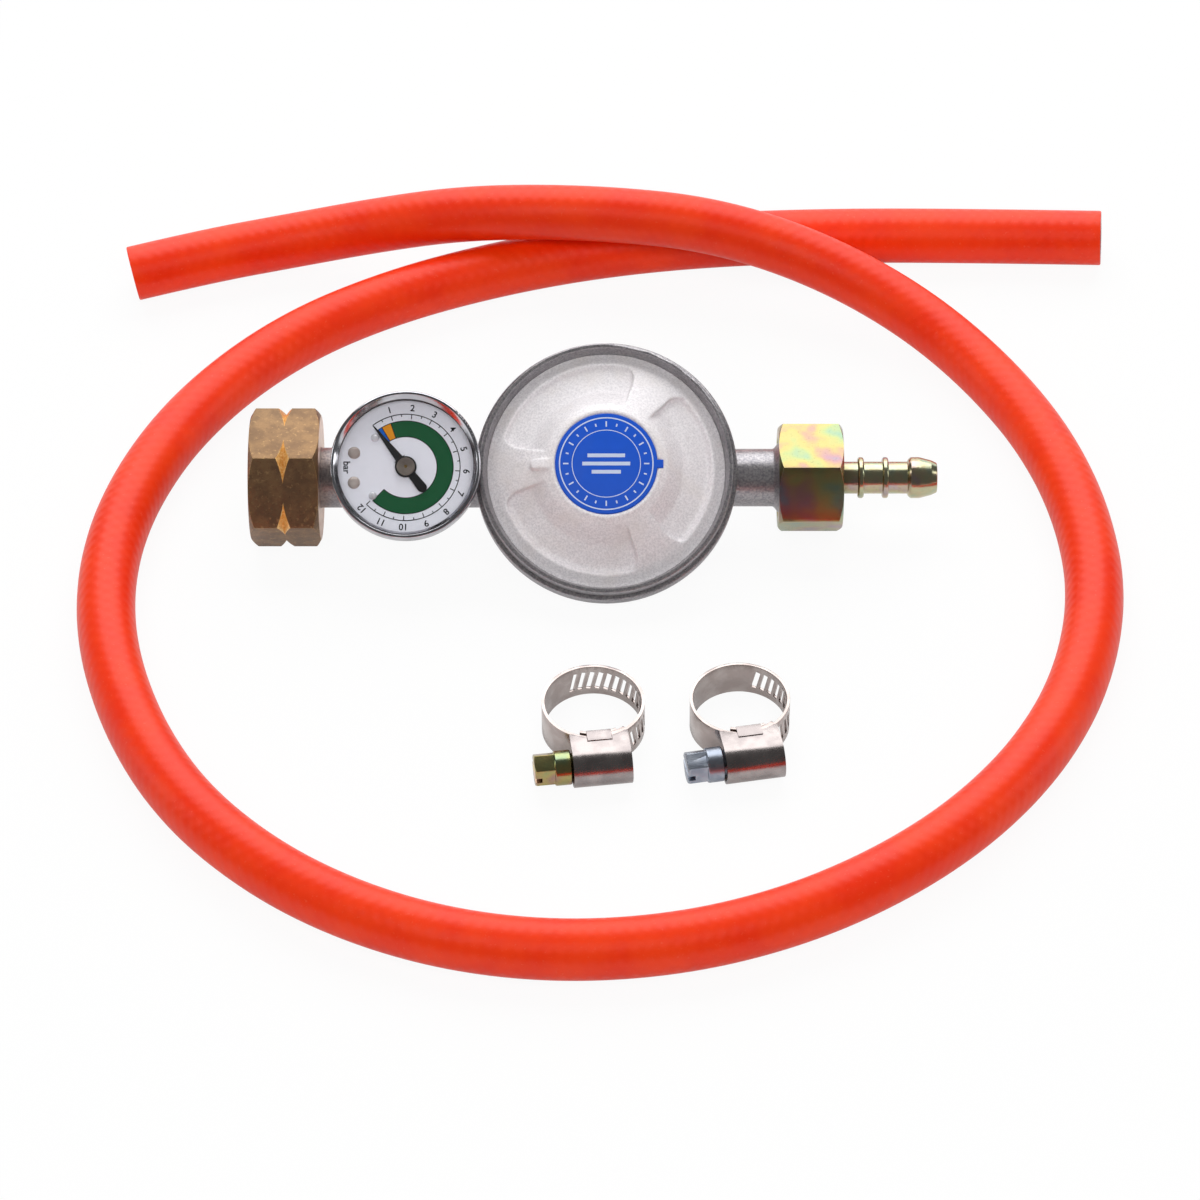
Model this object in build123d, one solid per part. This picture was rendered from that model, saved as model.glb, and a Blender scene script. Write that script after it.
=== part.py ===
from build123d import *
import math
import os

# Low-pressure gas regulator kit: the regulator with its cylinder gauge, a loose hose and two
# hose clamps, laid out on a table (z = 0). Millimetres, +Z up, +X along the gas flow.

# ---- regulator: where it lies -------------------------------------------------------------
tilt = 34.0                    # the bowl's cone lies on the table, so the cover leans this much
disc_x, disc_y = 3.5, 33.9     # the diaphragm's axis crosses the tube's axis here
inlet_nut_af = 30.0
axis_height = inlet_nut_af / 2  # the inlet nut rests on one of its flats

# ---- regulator: diaphragm housing, heights along the cover's axis from the tube's axis ------
rim_r = 31.7                   # side band
lip_step = 1.1                 # the lip above the groove stands in from the band
lip_r = rim_r - lip_step
lip_land = 0.9
lip_top = 12.2
lip_draft = 1.0                # how far the lip's inner bevel leans out
crimp_over = 0.25              # how far the lip is pressed over the cover's edge
groove_low, groove_width, groove_depth = 8.0, 0.9, 1.5
back_z = -11.0                 # flat at the bottom of the bowl
bowl_wall = 2.5
chamber_r = rim_r - 5.2
seat_z = 5.6                   # ledge under the diaphragm
diaphragm_t = 1.0
fold = (chamber_r - 3.0, chamber_r - 9.5)   # thin fold that lets the diaphragm move
cover_edge_t = 1.9
cover_fit = 0.05
cover_land = 0.6               # flat edge that the lip holds down
label_z = 17.0                 # top of the label
label_r = 12.3
label_t = 0.8
label_land = 0.9               # land round the label
cover_top_in_r = 11.5
cover_in_r = chamber_r - 1.9   # where the cover's inner cone leaves the clamping flange
cover_in_rise = 6.0
cover_r = lip_r - lip_land - lip_draft + crimp_over
dome_foot_r, dome_foot_z = cover_r - 2.75, 9.9
dome_head_z = 16.4
pocket_out_r = dome_foot_r - 0.3
pocket_floor_r, pocket_head_r = pocket_out_r - 1.3, 14.6
pocket_low_z, pocket_knee_r, pocket_knee_z = 9.0, 18.6, 11.2
pocket_spans = [(-48.0, 48.0), (73.0, 167.0), (195.0, 289.0)]
pocket_end_r = 4.2
key_w, key_end_r = 2.6, 18.3
tab_w, tab_out = 2.0, 1.4
plug_r, plug_top = 9.5, 16.1
plug_z = 12.8

# ---- regulator: inlet and outlet arms --------------------------------------------------------
inlet_arm_r, outlet_arm_r = 7.3, 7.0
arm_root = rim_r - 17.7        # both arms start inside the bowl
gas_bore_r = 2.6
out_bore_r = 4.0
outlet_thread_r, outlet_arm_end = 9.1, 50.5
outlet_flare = (40.6, 42.3)
nut_play = 0.1                 # radial running clearance of both nuts

case_r = 17.3
bezel_wall = 0.8
bezel_r = case_r + bezel_wall
gauge_to_lip = 0.3             # the gauge's case stands this far from the housing's lip
gauge_x = -(lip_r + gauge_to_lip + case_r)
nut_to_gauge = 2.9             # seen along the tube, between the nut and the gauge's bezel
inlet_nut_len = 16.9
inlet_nut_x = (gauge_x - bezel_r - nut_to_gauge - inlet_nut_len, gauge_x - bezel_r - nut_to_gauge)
inlet_nut_wall = 3.0
thread_r, thread_len, thread_lead = 10.0, 7.5, 0.8
relief_r = 10.7
nick_w, nick_r = 3.3, 15.2     # turned V groove that cuts only the corners
hex_chamfer = 30.0

nipple_r, nipple_t = 9.6, 3.1
nipple_gap = 0.2               # between a union's loose nut and what it pulls in
nipple_nose_r, nipple_bore_r, nipple_shank_r, nipple_shank = 5.9, 3.0, 4.5, 14.0
gasket_t, gasket_rim = 2.0, 9.4
filter_t = 3.0
inlet_arm_end = inlet_nut_x[1] - inlet_nut_wall - nipple_gap

outlet_nut_af = 24.0
outlet_nut_x = (41.7, 57.3)
outlet_nut_turn = 24.5         # a flat faces this far above the horizon
outlet_nut_wall = 3.7
outlet_nut_hole_r = 5.15
outlet_gasket_t, outlet_gasket_r = 1.4, 8.6
tail_flange_r = 8.8
tail_r, tail_bore_r, tail_end = 3.9, 2.4, 80.3
barb_r = 5.0
barb_w = 1.5
barbs = (61.8, 67.75)
bulb_x, bulb_land, bulb_tip_r = 73.1, 2.0, 3.6

# ---- regulator: valve train ------------------------------------------------------------------
lever_x, lever_z = -9.0, -5.0  # lever pin: 5 below the valve slider, 9 from the stem
lever_pin_r, lever_pin_len = 1.0, 12.0
lever_w, lever_t = 2.4, 1.6
running = 0.05                 # radial clearance of pins and shafts
slot_play = 0.15
jet_face = -16.9
jet_plug = (-25.0, -18.0)
jet_r, jet_orifice_r = 5.0, 1.0
guide_r, guide_wall, guide_end = 2.7, 1.3, -11.3
slider_end = -5.9
pad_gap, pad_r, pad_t, pad_seat = 0.7, 2.0, 1.2, 0.6
plate_r, plate_t = 14.0, 0.8
stem_r, stem_low = 2.2, -6.8
stem_washer_r, stem_washer_t = 6.0, 0.7
spring_r, spring_wire, spring_pitch = 6.6, 0.55, 1.25

# ---- gauge -------------------------------------------------------------------------------------
pad_boss_r, pad_top = 8.5, 8.8
gauge_seal_t, gauge_seal_r = 0.5, 7.5
gauge_stem_r, gauge_stem_low = 4.9, 1.0
case_wall, case_floor = 0.8, 0.6
block_t, block_gap, gear_t = 0.8, 0.2, 0.6
dial_lift, dial_t = 2.8, 0.4   # dial above the back of the case
dial_r = case_r - case_wall - 0.1
pointer_gap, blade_t, boss_t, hub_t = 0.4, 0.3, 0.5, 0.3
lens_gap, lens_t = 0.35, 1.0
lens_r = case_r - 0.3
bezel_lip = 1.05
bezel_sight_r = lens_r - 0.7
bezel_skirt = 3.6
pointer_tip = dial_r - 3.7
pointer_tail, pointer_tail_r = 4.9, 1.2
pointer_rest = 128.0
pointer_boss_r, hub_r, arbor_r = 2.6, 2.2, 0.4
module_mm, pinion_teeth, sector_teeth = 0.25, 10, 60
sector_cover = (-48.0, 4.0)
bourdon_r = case_r - 6.15
bourdon_w, bourdon_h = 1.0, 1.6
bourdon_span = (-128.0, 172.0)
dial_screw_at = (dial_r - 3.4, 16.3)   # radius, and angle either side of the left-hand direction
dial_screw_r, dial_screw_t, post_r = 1.5, 0.5, 0.8
stop_pins = [(dial_r - 6.0, 135.9), (dial_r - 5.85, 221.3)]
stop_pin_r = 1.0

# ---- hose --------------------------------------------------------------------------------------
hose_r, hose_bore_r = 7.0, 4.0
corner_share = 0.45            # of the shorter run, on each side of a corner
hose_route = [
    (-117.75, 116.25, 7), (-99.65, 122.45, 7), (-77.65, 126.65, 8.4), (-55.65, 127.55, 13),
    (-35.65, 125.35, 18.8), (-15.65, 122.75, 22), (6.35, 121.35, 22.2), (27.35, 119.55, 20.8),
    (47.85, 115.7, 17.2), (67.75, 108.35, 12.6), (85.55, 95.55, 9), (100.15, 77.45, 7.4),
    (111.65, 55.25, 7), (118.75, 29.35, 7), (120.85, 1.35, 7), (114.85, -26.45, 7),
    (103.25, -50.15, 7), (87.25, -70.15, 7), (68.05, -86.75, 7), (45.35, -99.45, 7),
    (20.35, -107.45, 7), (-6.65, -109.95, 7), (-32.65, -106.45, 7), (-56.65, -97.15, 7),
    (-77.35, -83.35, 7), (-95.65, -63.35, 7), (-109.15, -37.55, 7), (-117.15, -8.65, 7),
    (-116.75, 20.35, 7), (-108.35, 48.25, 7), (-94.35, 72.05, 7), (-74.85, 92.45, 7),
    (-51.45, 106.95, 7), (-25.65, 117.35, 7), (1.35, 124.65, 7), (31.35, 128.95, 7),
    (64.35, 130.45, 7), (98.35, 130.25, 7), (130.65, 129.45, 7)]

# ---- clamps ------------------------------------------------------------------------------------
band_w, band_t = 9.0, 0.7
clamps = {
    "left": {"at": (0.4, -35.1), "turn": 7.0, "bore_r": 11.4, "slots_to": 112.0},
    "right": {"at": (34.8, -34.1), "turn": 10.0, "bore_r": 11.05, "slots_to": 66.0}}
slots_from, slot_pitch, slot_w, slot_h, slot_lean = -46.0, 2.15, 1.15, 5.4, 12.0
tongue_to = -56.0              # the band's free end shows inside the ring
housing_r, housing_wall, housing_len = 4.95, 0.7, 13.8
screw_out = 4.1                # screw axis outside the band
screw_thread_r, screw_core_r, screw_pitch = 3.9, 3.2, 2.3
collar_r, collar_len, collar_gap = 4.1, 4.0, 0.3
screw_head_af, screw_head_len = 7.0, 4.6
saddle_t, saddle_half = 0.7, 24.0
flap_w, flap_in, flap_out = 5.8, 1.2, 5.2   # tabs of the housing, folded over the band's edges
part_gap = 0.3                 # between pieces of different bodies

# ---- helpers -------------------------------------------------------------------------------------


def outline(points):
    """Closed face through (a, b) points; a third number rounds that corner."""
    face = make_face(Polyline([(p[0], p[1]) for p in points], close=True))
    for p in points:
        if len(p) == 3:
            corner = face.vertices().sort_by_distance((p[0], p[1], 0))[0]
            face = fillet(corner, p[2])
    return face


def turned(points):
    """Solid turned about Z from (radius, height) points."""
    return revolve(Plane.XZ * outline(points), Axis.Z)


def turned_x(points):
    """Solid turned about X from (x, radius) points."""
    return revolve(outline(points), Axis.X)


def rod(radius, low, high, x=0.0, y=0.0):
    return Pos(x, y, low) * Cylinder(radius, high - low, align=(Align.CENTER, Align.CENTER, Align.MIN))


def rod_x(radius, x_from, x_to, y=0.0, z=0.0):
    flat = Cylinder(radius, x_to - x_from, align=(Align.CENTER, Align.CENTER, Align.MIN))
    return Pos(x_from, y, z) * (Rot(0, 90, 0) * flat)


def block(x, y, z):
    """Box from three (low, high) pairs."""
    size = [high - low for low, high in (x, y, z)]
    middle = [(high + low) / 2 for low, high in (x, y, z)]
    return Pos(*middle) * Box(*size)


def ring(outer, inner, low, high):
    return rod(outer, low, high) - rod(inner, low, high)


def hex_bar(across_flats, x_from, x_to, turn=0.0):
    """Hexagon bar along X with a flat facing +Z, turned about X, both ends chamfered."""
    corner_r = across_flats / math.sqrt(3)
    drop = (corner_r - across_flats / 2) * math.tan(math.radians(hex_chamfer))
    face = Plane.YZ * RegularPolygon(across_flats / 2, 6, major_radius=False, rotation=0)
    bar = Pos(x_from, 0, 0) * extrude(face, x_to - x_from)
    trim = turned_x([(x_from, 0), (x_from, across_flats / 2), (x_from + drop, corner_r + 0.01),
                     (x_to - drop, corner_r + 0.01), (x_to, across_flats / 2), (x_to, 0)])
    return (Rot(turn, 0, 0) * bar) & trim


def sector_face(inner, outer, start, end):
    """Ring sector in the XY plane, angles in degrees."""
    middle = math.radians((start + end) / 2)
    a, b = math.radians(start), math.radians(end)

    def at(radius, angle):
        return (radius * math.cos(angle), radius * math.sin(angle))
    edges = [ThreePointArc(at(outer, a), at(outer, middle), at(outer, b)), Line(at(outer, b), at(inner, b)),
             ThreePointArc(at(inner, b), at(inner, middle), at(inner, a)), Line(at(inner, a), at(outer, a))]
    return make_face(edges)


def cone_height(radius, lift=0.0):
    """Height of the bowl's cone at a radius: the table plane, or a plane lifted off it."""
    slope = math.radians(tilt)
    return (radius * math.sin(slope) - axis_height + lift) / math.cos(slope)


def cone_radius(height, lift=0.0):
    slope = math.radians(tilt)
    return (height * math.cos(slope) + axis_height - lift) / math.sin(slope)


# ---- diaphragm housing ---------------------------------------------------------------------------
diaphragm_top = seat_z + diaphragm_t
cover_edge_top = diaphragm_top + cover_edge_t
lip_in_r = lip_r - lip_land
recess_floor = label_z - label_t
groove_high = groove_low + groove_width
chamber_low = back_z + bowl_wall + 0.3


def body_casting():
    bowl = turned([
        (0, back_z), (cone_radius(back_z), back_z, 1.5), (rim_r, cone_height(rim_r), 0.4),
        (rim_r, groove_low, 0.3), (rim_r - groove_depth, groove_low), (rim_r - groove_depth, groove_high),
        (lip_r + 0.2, groove_high, 0.2), (lip_r, lip_top, 0.3), (0, lip_top)])
    crimp = cover_edge_top + 0.02
    cup = turned([(0, seat_z), (cover_r + cover_fit, seat_z), (cover_r + cover_fit, crimp),
                  (cover_r - crimp_over, crimp), (lip_in_r, lip_top), (lip_in_r, lip_top + 1), (0, lip_top + 1)])
    arm_in = rod_x(inlet_arm_r, inlet_arm_end, -arm_root)
    arm_out = turned_x([(arm_root, 0), (arm_root, outlet_arm_r), (outlet_flare[0], outlet_arm_r, 0.8),
                        (outlet_flare[1], outlet_thread_r, 0.4), (outlet_arm_end, outlet_thread_r, 0.6),
                        (outlet_arm_end, 0)])
    boss = rod(pad_boss_r, 0, pad_top, gauge_x)
    solid = bowl + arm_in + arm_out + boss - cup
    chamber = turned([
        (0, chamber_low), (cone_radius(chamber_low, bowl_wall), chamber_low),
        (chamber_r, cone_height(chamber_r, bowl_wall)), (chamber_r, seat_z + 0.01), (0, seat_z + 0.01)])
    seat_boss = rod_x(jet_r + 1.5, jet_plug[0], jet_plug[1])
    chamber = chamber - seat_boss
    lug_y = (lever_w / 2 + 1.5, lever_pin_len / 2)
    for side in (-1, 1):
        span = sorted((side * lug_y[0], side * lug_y[1]))
        chamber = chamber - block((lever_x - 2, lever_x + 2), span, (chamber_low - 1, lever_z + 1.6))
    clear_r = guide_r + guide_wall + 0.15
    solid = solid - chamber - rod_x(clear_r, jet_plug[1], lever_x - 2)
    solid = solid - rod_x(jet_r, jet_plug[0], jet_plug[1] + 0.01)
    shank_end = inlet_arm_end + nipple_shank
    solid = solid - rod_x(gas_bore_r, shank_end, jet_plug[0] + 0.01)
    solid = solid - rod_x(nipple_shank_r, inlet_arm_end - 0.01, shank_end)
    solid = solid - rod_x(out_bore_r, 12, outlet_arm_end + 0.01)
    solid = solid - rod(gauge_stem_r, gauge_stem_low, pad_top + 0.01, gauge_x)
    solid = solid - Pos(lever_x, 0, lever_z) * (Rot(90, 0, 0) * Cylinder(lever_pin_r, lever_pin_len))
    return solid


def pocket_tool(start, end):
    """Sunk bay of the cover: a turned ring floor, limited to a rounded sector."""
    over = label_z + 2
    floor = turned([
        (pocket_head_r, dome_head_z - 0.1), (pocket_knee_r, pocket_knee_z, 1.6), (pocket_floor_r, pocket_low_z, 0.5),
        (pocket_out_r + 0.6, pocket_low_z + 1.9), (pocket_out_r + 0.6, over), (pocket_head_r, over)])
    bay = sector_face(pocket_head_r - 1.5, pocket_out_r + 0.5, start, end)
    ends = [corner for corner in bay.vertices() if Vector(corner.X, corner.Y).length > pocket_out_r]
    bay = fillet(ends, pocket_end_r)
    inner = [corner for corner in bay.vertices() if Vector(corner.X, corner.Y).length < pocket_head_r]
    bay = fillet(inner, pocket_end_r / 2)
    return floor & extrude(bay, over)


def diaphragm_cover():
    dome = turned([
        (plug_r, recess_floor), (label_r + cover_fit, recess_floor), (label_r + cover_fit, label_z, 0.2),
        (label_r + label_land, label_z, 0.3), (label_r + label_land + 0.8, dome_head_z, 1.5),
        (dome_foot_r, dome_foot_z, 2.0), (cover_r - cover_land, cover_edge_top, 0.5), (cover_r, cover_edge_top),
        (cover_r, diaphragm_top), (cover_in_r, diaphragm_top), (cover_top_in_r, diaphragm_top + cover_in_rise),
        (plug_r, diaphragm_top + cover_in_rise)])
    for start, end in pocket_spans:
        dome = dome - pocket_tool(start, end)
    key = block((-key_end_r + key_w / 2, -label_r - 0.3), (-key_w / 2, key_w / 2), (dome_foot_z + 2, label_z - 0.1))
    key += rod(key_w / 2, dome_foot_z + 2, label_z - 0.1, -key_end_r + key_w / 2)
    dome = dome + key
    dome -= rod(label_r + cover_fit, recess_floor, label_z + 0.01)
    notch = (label_r - 1, label_r + tab_out + cover_fit)
    dome -= block(notch, (-tab_w / 2 - cover_fit, tab_w / 2 + cover_fit), (recess_floor, label_z + 0.01))
    return dome


def label_disc():
    disc = rod(label_r, recess_floor, label_z)
    disc += block((label_r - 1, label_r + tab_out), (-tab_w / 2, tab_w / 2), (recess_floor, label_z))
    return chamfer(disc.edges().group_by(Axis.Z)[-1], 0.15)


def adjusting_plug():
    plug = rod(plug_r, plug_z, plug_top)
    socket = Pos(0, 0, plug_top - 2.0) * extrude(RegularPolygon(4, 6, major_radius=False), 2.01)
    return chamfer(plug.edges().group_by(Axis.Z)[0], 0.6) - socket


def diaphragm():
    hole = stem_r + part_gap
    bead_r = cover_r - 0.4
    sheet = ring(bead_r, hole, seat_z, diaphragm_top)
    return sheet - ring(*fold, seat_z + diaphragm_t / 2, diaphragm_top + 0.01)


# ---- valve train ---------------------------------------------------------------------------------
plate_low = diaphragm_top + 0.1
plate_top = plate_low + plate_t
pad_front = jet_face + pad_gap
slider_front = pad_front + pad_t - pad_seat


def diaphragm_plate():
    rim = turned([(stem_r, plate_low), (plate_r, plate_low), (plate_r, plate_top + 0.8), (plate_r - 0.8, plate_top + 0.8),
                  (plate_r - 0.8, plate_top), (stem_r, plate_top)])
    return rim


def diaphragm_stem():
    low = seat_z - 0.2 - stem_washer_t
    pin = rod(stem_r, stem_low, plate_top) + rod(stem_washer_r, low, low + stem_washer_t)
    pin += turned([(0, plate_top), (stem_r + 1.2, plate_top), (stem_r + 0.6, plate_top + 0.9, 0.4), (0, plate_top + 0.9)])
    half = lever_t / 2 + 0.35
    window = block((-stem_r - 0.1, stem_r - 0.8), (-stem_r - 0.1, stem_r + 0.1), (lever_z - half, lever_z + half))
    return pin - window


def main_spring():
    low = plate_top + spring_wire + 0.03
    high = plug_z - spring_wire - 0.02
    coil = Helix(spring_pitch, high - low, spring_r)
    start = coil ^ 0
    wire = sweep(Plane(start.position, z_dir=start.z_axis.direction) * Circle(spring_wire), coil, is_frenet=True)
    return Pos(0, 0, low) * wire


def lever():
    hub = Pos(lever_x, 0, lever_z) * (Rot(90, 0, 0) * Cylinder(lever_t + 0.6, 2 * (lever_w / 2 + 1.2)))
    upright = block((lever_x - lever_t / 2, lever_x + lever_t / 2), (-lever_w / 2, lever_w / 2), (lever_z, 0))
    tip = Pos(lever_x, 0, 0) * (Rot(90, 0, 0) * Cylinder(1.0, lever_w))
    arm = block((lever_x, 0.3), (-lever_w / 2, lever_w / 2), (lever_z - lever_t / 2, lever_z + lever_t / 2))
    nose = Pos(0.3, 0, lever_z) * (Rot(90, 0, 0) * Cylinder(lever_t / 2, lever_w))
    hole = Pos(lever_x, 0, lever_z) * (Rot(90, 0, 0) * Cylinder(lever_pin_r + running, 8))
    return hub + upright + tip + arm + nose - hole


def lever_pin():
    return Pos(lever_x, 0, lever_z) * (Rot(90, 0, 0) * Cylinder(lever_pin_r, lever_pin_len))


def valve_slider():
    body = rod_x(guide_r - 0.1, slider_front, slider_end)
    body -= rod_x(pad_r, slider_front - 0.01, slider_front + pad_seat)
    half = 1.0 + slot_play
    slot = block((lever_x - half, lever_x + half), (-lever_w / 2 - 0.2, lever_w / 2 + 0.2), (-guide_r, 1.6))
    return body - slot


def valve_pad():
    return rod_x(pad_r, pad_front, pad_front + pad_t)


def valve_seat():
    plug = rod_x(jet_r, jet_plug[0], jet_plug[1])
    guide = rod_x(guide_r + guide_wall, jet_plug[1], guide_end)
    guide -= rod_x(guide_r, jet_plug[1] + 0.4, guide_end + 0.01)
    nozzle = turned_x([(jet_plug[1], 0), (jet_plug[1], 2.2), (jet_face, 1.6), (jet_face, 0)])
    windows = block((jet_plug[1] + 1.2, jet_plug[1] + 4.2), (-guide_r - 2, guide_r + 2), (-1.2, 1.2))
    seat = plug + (guide - windows) + nozzle
    return seat - rod_x(jet_orifice_r, jet_plug[0] - 0.01, jet_face + 0.01)


# ---- inlet union ---------------------------------------------------------------------------------
nut_shoulder = inlet_nut_x[1] - inlet_nut_wall
nipple_back = nut_shoulder - nipple_gap
nipple_face = nipple_back - nipple_t
seat_face = nipple_face - gasket_t


def inlet_nut():
    """Built on the table's own upright axes, so that one flat faces straight down."""
    nut = hex_bar(inlet_nut_af, *inlet_nut_x)
    middle = sum(inlet_nut_x) / 2
    crest = inlet_nut_af / math.sqrt(3) + 0.5
    flank = nick_w / 2 * (crest - nick_r) / (inlet_nut_af / math.sqrt(3) - nick_r)
    nut -= turned_x([(middle, nick_r), (middle + flank, crest), (middle - flank, crest)])
    x0 = inlet_nut_x[0]
    thread_end = x0 + thread_lead + thread_len
    bore = turned_x([(x0 - 0.01, 0), (x0 - 0.01, thread_r + thread_lead), (x0 + thread_lead, thread_r),
                     (thread_end, thread_r), (thread_end, relief_r), (nut_shoulder, relief_r), (nut_shoulder, 0)])
    return nut - bore - rod_x(inlet_arm_r + nut_play, nut_shoulder - 0.01, inlet_nut_x[1] + 0.01)


def inlet_nipple():
    shank_end = inlet_arm_end + nipple_shank
    body = turned_x([(seat_face, 0), (seat_face, nipple_nose_r, 0.4), (nipple_face, nipple_nose_r), (nipple_face, nipple_r, 0.3),
                     (nipple_back, nipple_r, 0.3), (nipple_back, nipple_shank_r), (shank_end, nipple_shank_r), (shank_end, 0)])
    body -= rod_x(nipple_bore_r, seat_face - 0.01, seat_face + filter_t + 1)
    return body - rod_x(gas_bore_r, seat_face + filter_t, shank_end + 0.01)


def inlet_gasket():
    return rod_x(gasket_rim, seat_face, nipple_face) - rod_x(nipple_nose_r, seat_face, nipple_face)


def inlet_filter():
    return rod_x(nipple_bore_r, seat_face + 0.5, seat_face + 0.5 + filter_t)


# ---- outlet union --------------------------------------------------------------------------------
tail_face = outlet_arm_end + outlet_gasket_t
tail_back = outlet_nut_x[1] - outlet_nut_wall - nipple_gap


def outlet_nut():
    """Built on upright axes like the inlet nut, then turned by its own angle."""
    nut = hex_bar(outlet_nut_af, *outlet_nut_x, turn=90 - outlet_nut_turn)
    bore = rod_x(outlet_thread_r + nut_play, outlet_nut_x[0] - 0.01, outlet_nut_x[1] - outlet_nut_wall)
    mouth = turned_x([(outlet_nut_x[0] - 0.01, 0), (outlet_nut_x[0] - 0.01, outlet_thread_r + 0.9),
                      (outlet_nut_x[0] + 0.8, outlet_thread_r), (outlet_nut_x[0] + 0.8, 0)])
    return nut - bore - mouth - rod_x(outlet_nut_hole_r, outlet_nut_x[1] - 5, outlet_nut_x[1] + 0.01)


def outlet_gasket():
    return rod_x(outlet_gasket_r, outlet_arm_end, tail_face) - rod_x(out_bore_r, outlet_arm_end, tail_face)


def hose_tail():
    profile = [(tail_face, 0), (tail_face, tail_flange_r, 0.2), (tail_back, tail_flange_r, 0.2), (tail_back, tail_r, 0.3)]
    for at in barbs:
        profile += [(at - barb_w / 2, tail_r), (at - barb_w / 2, barb_r, 0.6), (at + barb_w / 2, barb_r, 0.6),
                    (at + barb_w / 2, tail_r)]
    land = bulb_x + 0.9
    profile += [(bulb_x, tail_r, 0.2), (bulb_x + 0.25, barb_r - 0.5, 0.2), (land, barb_r, 0.6), (land + bulb_land, barb_r, 2.0),
                (tail_end - 1.4, barb_r - 0.75, 1.5), (tail_end, bulb_tip_r, 0.3), (tail_end, 0)]
    tail = turned_x(profile)
    return tail - rod_x(tail_bore_r, tail_face - 0.01, tail_end + 0.01)


# ---- gauge ---------------------------------------------------------------------------------------
case_back = pad_top + gauge_seal_t
floor_z = case_back + case_floor
block_top = floor_z + block_t
gear_z = block_top + block_gap
dial_z = case_back + dial_lift
dial_top = dial_z + dial_t
blade_z = dial_top + pointer_gap
boss_top = blade_z + boss_t
hub_top = boss_top + hub_t
lens_z = hub_top + lens_gap
bezel_top = lens_z + lens_t + bezel_lip
pinion_r = module_mm * pinion_teeth / 2
sector_r = module_mm * sector_teeth / 2
sector_x = -(pinion_r + sector_r)   # sector pivot, left of the pointer's


def polar(radius, angle):
    return (radius * math.cos(math.radians(angle)), radius * math.sin(math.radians(angle)))


def tooth_flank(pitch_r, teeth, add, ded, sign):
    """Involute flank points from root to tip, as (radius, angle) about the tooth's centre."""
    base_r = pitch_r * math.cos(math.radians(20))

    def involute(radius):
        bend = math.acos(min(1.0, base_r / radius))
        return math.degrees(math.tan(bend) - bend)
    half = 90.0 / teeth * 0.78
    points = []
    for radius in (pitch_r - ded, max(base_r, pitch_r - ded / 2), pitch_r, pitch_r + add):
        sweep_angle = involute(pitch_r) - (involute(radius) if radius > base_r else 0.0)
        points.append((radius, sign * (half + sweep_angle)))
    return points if sign < 0 else points[::-1]


def gear_face(pitch_r, teeth, centres, add=0.75, ded=1.1):
    """Toothed outline: a closed polygon through every tooth given by its centre angle."""
    points = []
    for centre in centres:
        flanks = tooth_flank(pitch_r, teeth, add * module_mm, ded * module_mm, -1)
        flanks += tooth_flank(pitch_r, teeth, add * module_mm, ded * module_mm, 1)
        points += [polar(radius, centre + angle) for radius, angle in flanks]
    return points


def gauge_stem():
    stem = rod(gauge_stem_r, gauge_stem_low, case_back)
    return stem - rod(1.2, gauge_stem_low - 0.01, case_back - 1.5)


def gauge_seal():
    return ring(gauge_seal_r, gauge_stem_r, pad_top, case_back)


def gauge_case():
    cup = turned([(0, case_back), (case_r, case_back, 0.8), (case_r, lens_z), (case_r - case_wall, lens_z),
                  (case_r - case_wall, floor_z, 0.3), (0, floor_z)])
    return cup


def gauge_bezel():
    over = case_r + 0.02
    return turned([(over, bezel_top - bezel_skirt), (bezel_r, bezel_top - bezel_skirt, 0.15), (bezel_r, bezel_top, 0.55),
                   (bezel_r - 0.8, bezel_top, 0.2), (bezel_sight_r, lens_z + lens_t), (over, lens_z + lens_t)])


def gauge_lens():
    return rod(lens_r, lens_z, lens_z + lens_t)


def gauge_dial():
    dial = rod(dial_r, dial_z, dial_top) - rod(arbor_r + 0.4, dial_z, dial_top)
    for side in (-1, 1):
        x, y = polar(dial_screw_at[0], 180 + side * dial_screw_at[1])
        dial -= rod(post_r, dial_z, dial_top, x, y)
    return dial


def dial_screw(side):
    x, y = polar(dial_screw_at[0], 180 - side * dial_screw_at[1])
    screw = rod(post_r, floor_z, dial_top, x, y)
    head = Pos(x, y, 0) * turned([(0, dial_top), (dial_screw_r, dial_top), (dial_screw_r, dial_top + dial_screw_t, 0.25),
                                  (0, dial_top + dial_screw_t)])
    return screw + head


def stop_pin(index):
    radius, angle = stop_pins[index]
    x, y = polar(radius, angle)
    height = pointer_gap + blade_t + 0.5
    return Pos(x, y, 0) * turned([(0, dial_top), (stop_pin_r, dial_top), (stop_pin_r, dial_top + height, 0.35),
                                  (0, dial_top + height)])


def pointer():
    blade = make_face(Polyline([(pointer_tip, 0.12), (0, 0.72), (-pointer_tail, pointer_tail_r),
                                (-pointer_tail, -pointer_tail_r), (0, -0.72), (pointer_tip, -0.12)], close=True))
    blade = extrude(blade, blade_t) + rod(pointer_tail_r, 0, blade_t, -pointer_tail)
    blade = Pos(0, 0, blade_z) * blade + rod(pointer_boss_r, blade_z, boss_top)
    return Rot(0, 0, pointer_rest) * (blade - rod(arbor_r, blade_z, boss_top))


def pointer_hub():
    cap = turned([(0, boss_top), (hub_r, boss_top), (hub_r, hub_top, 0.15), (0, hub_top)])
    return cap - rod(arbor_r, boss_top, hub_top + 0.01)


def pinion_arbor():
    shaft = rod(arbor_r, floor_z + 0.2, hub_top)
    centres = [360.0 / pinion_teeth * (i + 0.5) for i in range(pinion_teeth)]
    wheel = make_face(Polyline(gear_face(pinion_r, pinion_teeth, centres), close=True))
    return shaft + Pos(0, 0, gear_z) * extrude(wheel, gear_t)


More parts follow.
